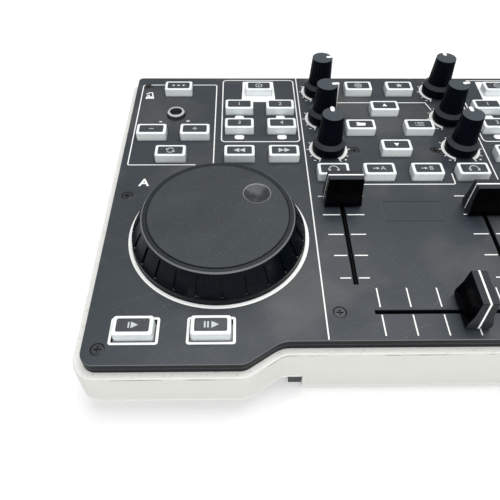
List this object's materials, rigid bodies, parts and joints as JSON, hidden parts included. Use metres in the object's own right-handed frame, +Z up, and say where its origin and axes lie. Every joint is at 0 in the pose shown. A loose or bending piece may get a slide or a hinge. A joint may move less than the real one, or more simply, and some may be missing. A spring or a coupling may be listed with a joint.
{
  "type": "dj controller",
  "caption": "Table-top dj controller: jog-wheel decks either side of a mixer with fluted tone knobs, sliding faders and rows of translucent push buttons.",
  "frame": {"origin": "on the table under the middle of the case, level with the undersides of the feet", "axes": "+Z up, +Y towards the back edge with the usb socket, +X to the right deck"},
  "size_m": [0.3034, 0.2046, 0.0578],
  "materials": {
    "casing": "slightly worn satin white",
    "plate": "fine satin, scratched",
    "board": "green solder mask",
    "parts": "moulded black",
    "lens": "milky lens",
    "socket": "plated shell",
    "screw": "black oxide",
    "foot": "dull",
    "key": "translucent white",
    "knob": "satin",
    "cap": "gloss",
    "jog": "gloss",
    "disc": "fine matte",
    "rotor": "moulded grey"
  },
  "bodies": {
    "controller": {"bottom_case": "casing", "front_fascia": "casing", "top_plate": "plate", "circuit_board": "board", "board_parts": "parts", "indicator_leds": "lens", "usb_socket": "socket", "screws": "screw", "rubber_feet": "foot"},
    "jog_a": {"jog_wheel_a": "jog", "jog_disc_a": "disc"},
    "jog_b": {"jog_wheel_b": "jog", "jog_disc_b": "disc"},
    "encoder_a": {"encoder_a": "rotor"},
    "encoder_b": {"encoder_b": "rotor"},
    "treble_a": {"treble_a": "knob"},
    "medium_a": {"medium_a": "knob"},
    "bass_a": {"bass_a": "knob"},
    "treble_b": {"treble_b": "knob"},
    "medium_b": {"medium_b": "knob"},
    "bass_b": {"bass_b": "knob"},
    "volume_a": {"volume_a": "cap"},
    "volume_b": {"volume_b": "cap"},
    "crossfader": {"crossfader": "cap"},
    "cue_a": {"cue_a": "key"},
    "play_a": {"play_a": "key"},
    "sync_a": {"sync_a": "key"},
    "rewind_a": {"rewind_a": "key"},
    "forward_a": {"forward_a": "key"},
    "pad_1_a": {"pad_1_a": "key"},
    "pad_2_a": {"pad_2_a": "key"},
    "pad_3_a": {"pad_3_a": "key"},
    "pad_4_a": {"pad_4_a": "key"},
    "source_a": {"source_a": "key"},
    "pitch_reset_a": {"pitch_reset_a": "key"},
    "pitch_minus_a": {"pitch_minus_a": "key"},
    "pitch_plus_a": {"pitch_plus_a": "key"},
    "cue_b": {"cue_b": "key"},
    "play_b": {"play_b": "key"},
    "sync_b": {"sync_b": "key"},
    "rewind_b": {"rewind_b": "key"},
    "forward_b": {"forward_b": "key"},
    "pad_1_b": {"pad_1_b": "key"},
    "pad_2_b": {"pad_2_b": "key"},
    "pad_3_b": {"pad_3_b": "key"},
    "pad_4_b": {"pad_4_b": "key"},
    "source_b": {"source_b": "key"},
    "pitch_reset_b": {"pitch_reset_b": "key"},
    "pitch_minus_b": {"pitch_minus_b": "key"},
    "pitch_plus_b": {"pitch_plus_b": "key"},
    "vinyl": {"vinyl": "key"},
    "magic": {"magic": "key"},
    "up": {"up": "key"},
    "folder": {"folder": "key"},
    "files": {"files": "key"},
    "down": {"down": "key"},
    "headphones_a": {"headphones_a": "key"},
    "load_a": {"load_a": "key"},
    "load_b": {"load_b": "key"},
    "headphones_b": {"headphones_b": "key"}
  },
  "joints": [
    {"name": "jog_a_spin", "type": "hinge", "parent": "controller", "child": "jog_a", "pos_m": [-0.0945, -0.03155, 0.035], "axis": [0, 0, 1], "continuous": true},
    {"name": "jog_b_spin", "type": "hinge", "parent": "controller", "child": "jog_b", "pos_m": [0.0945, -0.03155, 0.035], "axis": [0, 0, 1], "continuous": true},
    {"name": "encoder_a_turn", "type": "hinge", "parent": "controller", "child": "encoder_a", "pos_m": [-0.1216, 0.06265, 0.035], "axis": [0, 0, 1], "continuous": true},
    {"name": "encoder_b_turn", "type": "hinge", "parent": "controller", "child": "encoder_b", "pos_m": [0.1216, 0.06265, 0.035], "axis": [0, 0, 1], "continuous": true},
    {"name": "treble_a_turn", "type": "hinge", "parent": "controller", "child": "treble_a", "pos_m": [-0.0364, 0.08645, 0.035], "axis": [0, 0, 1], "range_deg": [-72, 228]},
    {"name": "medium_a_turn", "type": "hinge", "parent": "controller", "child": "medium_a", "pos_m": [-0.0364, 0.0587, 0.035], "axis": [0, 0, 1], "range_deg": [-68, 232]},
    {"name": "bass_a_turn", "type": "hinge", "parent": "controller", "child": "bass_a", "pos_m": [-0.0364, 0.03095, 0.035], "axis": [0, 0, 1], "range_deg": [-150, 150]},
    {"name": "treble_b_turn", "type": "hinge", "parent": "controller", "child": "treble_b", "pos_m": [0.0364, 0.08645, 0.035], "axis": [0, 0, 1], "range_deg": [-150, 150]},
    {"name": "medium_b_turn", "type": "hinge", "parent": "controller", "child": "medium_b", "pos_m": [0.0364, 0.0587, 0.035], "axis": [0, 0, 1], "range_deg": [-78, 222]},
    {"name": "bass_b_turn", "type": "hinge", "parent": "controller", "child": "bass_b", "pos_m": [0.0364, 0.03095, 0.035], "axis": [0, 0, 1], "range_deg": [-150, 150]},
    {"name": "volume_a_slide", "type": "slide", "parent": "controller", "child": "volume_a", "axis": [0, 1, 0], "range_m": [-0.04965, 0.00435]},
    {"name": "volume_b_slide", "type": "slide", "parent": "controller", "child": "volume_b", "axis": [0, 1, 0], "range_m": [-0.0431, 0.0109]},
    {"name": "crossfader_slide", "type": "slide", "parent": "controller", "child": "crossfader", "axis": [1, 0, 0], "range_m": [-0.03795, 0.01455]},
    {"name": "cue_a_press", "type": "slide", "parent": "controller", "child": "cue_a", "axis": [0, 0, -1], "range_m": [0, 0.0008], "stiffness_N_per_m": 1500, "springref_m": -0.0004},
    {"name": "play_a_press", "type": "slide", "parent": "controller", "child": "play_a", "axis": [0, 0, -1], "range_m": [0, 0.0008], "stiffness_N_per_m": 1500, "springref_m": -0.0004},
    {"name": "sync_a_press", "type": "slide", "parent": "controller", "child": "sync_a", "axis": [0, 0, -1], "range_m": [0, 0.0008], "stiffness_N_per_m": 1500, "springref_m": -0.0004},
    {"name": "rewind_a_press", "type": "slide", "parent": "controller", "child": "rewind_a", "axis": [0, 0, -1], "range_m": [0, 0.0008], "stiffness_N_per_m": 1500, "springref_m": -0.0004},
    {"name": "forward_a_press", "type": "slide", "parent": "controller", "child": "forward_a", "axis": [0, 0, -1], "range_m": [0, 0.0008], "stiffness_N_per_m": 1500, "springref_m": -0.0004},
    {"name": "pad_1_a_press", "type": "slide", "parent": "controller", "child": "pad_1_a", "axis": [0, 0, -1], "range_m": [0, 0.0008], "stiffness_N_per_m": 1500, "springref_m": -0.0004},
    {"name": "pad_2_a_press", "type": "slide", "parent": "controller", "child": "pad_2_a", "axis": [0, 0, -1], "range_m": [0, 0.0008], "stiffness_N_per_m": 1500, "springref_m": -0.0004},
    {"name": "pad_3_a_press", "type": "slide", "parent": "controller", "child": "pad_3_a", "axis": [0, 0, -1], "range_m": [0, 0.0008], "stiffness_N_per_m": 1500, "springref_m": -0.0004},
    {"name": "pad_4_a_press", "type": "slide", "parent": "controller", "child": "pad_4_a", "axis": [0, 0, -1], "range_m": [0, 0.0008], "stiffness_N_per_m": 1500, "springref_m": -0.0004},
    {"name": "source_a_press", "type": "slide", "parent": "controller", "child": "source_a", "axis": [0, 0, -1], "range_m": [0, 0.0008], "stiffness_N_per_m": 1500, "springref_m": -0.0004},
    {"name": "pitch_reset_a_press", "type": "slide", "parent": "controller", "child": "pitch_reset_a", "axis": [0, 0, -1], "range_m": [0, 0.0008], "stiffness_N_per_m": 1500, "springref_m": -0.0004},
    {"name": "pitch_minus_a_press", "type": "slide", "parent": "controller", "child": "pitch_minus_a", "axis": [0, 0, -1], "range_m": [0, 0.0008], "stiffness_N_per_m": 1500, "springref_m": -0.0004},
    {"name": "pitch_plus_a_press", "type": "slide", "parent": "controller", "child": "pitch_plus_a", "axis": [0, 0, -1], "range_m": [0, 0.0008], "stiffness_N_per_m": 1500, "springref_m": -0.0004},
    {"name": "cue_b_press", "type": "slide", "parent": "controller", "child": "cue_b", "axis": [0, 0, -1], "range_m": [0, 0.0008], "stiffness_N_per_m": 1500, "springref_m": -0.0004},
    {"name": "play_b_press", "type": "slide", "parent": "controller", "child": "play_b", "axis": [0, 0, -1], "range_m": [0, 0.0008], "stiffness_N_per_m": 1500, "springref_m": -0.0004},
    {"name": "sync_b_press", "type": "slide", "parent": "controller", "child": "sync_b", "axis": [0, 0, -1], "range_m": [0, 0.0008], "stiffness_N_per_m": 1500, "springref_m": -0.0004},
    {"name": "rewind_b_press", "type": "slide", "parent": "controller", "child": "rewind_b", "axis": [0, 0, -1], "range_m": [0, 0.0008], "stiffness_N_per_m": 1500, "springref_m": -0.0004},
    {"name": "forward_b_press", "type": "slide", "parent": "controller", "child": "forward_b", "axis": [0, 0, -1], "range_m": [0, 0.0008], "stiffness_N_per_m": 1500, "springref_m": -0.0004},
    {"name": "pad_1_b_press", "type": "slide", "parent": "controller", "child": "pad_1_b", "axis": [0, 0, -1], "range_m": [0, 0.0008], "stiffness_N_per_m": 1500, "springref_m": -0.0004},
    {"name": "pad_2_b_press", "type": "slide", "parent": "controller", "child": "pad_2_b", "axis": [0, 0, -1], "range_m": [0, 0.0008], "stiffness_N_per_m": 1500, "springref_m": -0.0004},
    {"name": "pad_3_b_press", "type": "slide", "parent": "controller", "child": "pad_3_b", "axis": [0, 0, -1], "range_m": [0, 0.0008], "stiffness_N_per_m": 1500, "springref_m": -0.0004},
    {"name": "pad_4_b_press", "type": "slide", "parent": "controller", "child": "pad_4_b", "axis": [0, 0, -1], "range_m": [0, 0.0008], "stiffness_N_per_m": 1500, "springref_m": -0.0004},
    {"name": "source_b_press", "type": "slide", "parent": "controller", "child": "source_b", "axis": [0, 0, -1], "range_m": [0, 0.0008], "stiffness_N_per_m": 1500, "springref_m": -0.0004},
    {"name": "pitch_reset_b_press", "type": "slide", "parent": "controller", "child": "pitch_reset_b", "axis": [0, 0, -1], "range_m": [0, 0.0008], "stiffness_N_per_m": 1500, "springref_m": -0.0004},
    {"name": "pitch_minus_b_press", "type": "slide", "parent": "controller", "child": "pitch_minus_b", "axis": [0, 0, -1], "range_m": [0, 0.0008], "stiffness_N_per_m": 1500, "springref_m": -0.0004},
    {"name": "pitch_plus_b_press", "type": "slide", "parent": "controller", "child": "pitch_plus_b", "axis": [0, 0, -1], "range_m": [0, 0.0008], "stiffness_N_per_m": 1500, "springref_m": -0.0004},
    {"name": "vinyl_press", "type": "slide", "parent": "controller", "child": "vinyl", "axis": [0, 0, -1], "range_m": [0, 0.0008], "stiffness_N_per_m": 1500, "springref_m": -0.0004},
    {"name": "magic_press", "type": "slide", "parent": "controller", "child": "magic", "axis": [0, 0, -1], "range_m": [0, 0.0008], "stiffness_N_per_m": 1500, "springref_m": -0.0004},
    {"name": "up_press", "type": "slide", "parent": "controller", "child": "up", "axis": [0, 0, -1], "range_m": [0, 0.0008], "stiffness_N_per_m": 1500, "springref_m": -0.0004},
    {"name": "folder_press", "type": "slide", "parent": "controller", "child": "folder", "axis": [0, 0, -1], "range_m": [0, 0.0008], "stiffness_N_per_m": 1500, "springref_m": -0.0004},
    {"name": "files_press", "type": "slide", "parent": "controller", "child": "files", "axis": [0, 0, -1], "range_m": [0, 0.0008], "stiffness_N_per_m": 1500, "springref_m": -0.0004},
    {"name": "down_press", "type": "slide", "parent": "controller", "child": "down", "axis": [0, 0, -1], "range_m": [0, 0.0008], "stiffness_N_per_m": 1500, "springref_m": -0.0004},
    {"name": "headphones_a_press", "type": "slide", "parent": "controller", "child": "headphones_a", "axis": [0, 0, -1], "range_m": [0, 0.0008], "stiffness_N_per_m": 1500, "springref_m": -0.0004},
    {"name": "load_a_press", "type": "slide", "parent": "controller", "child": "load_a", "axis": [0, 0, -1], "range_m": [0, 0.0008], "stiffness_N_per_m": 1500, "springref_m": -0.0004},
    {"name": "load_b_press", "type": "slide", "parent": "controller", "child": "load_b", "axis": [0, 0, -1], "range_m": [0, 0.0008], "stiffness_N_per_m": 1500, "springref_m": -0.0004},
    {"name": "headphones_b_press", "type": "slide", "parent": "controller", "child": "headphones_b", "axis": [0, 0, -1], "range_m": [0, 0.0008], "stiffness_N_per_m": 1500, "springref_m": -0.0004}
  ]
}
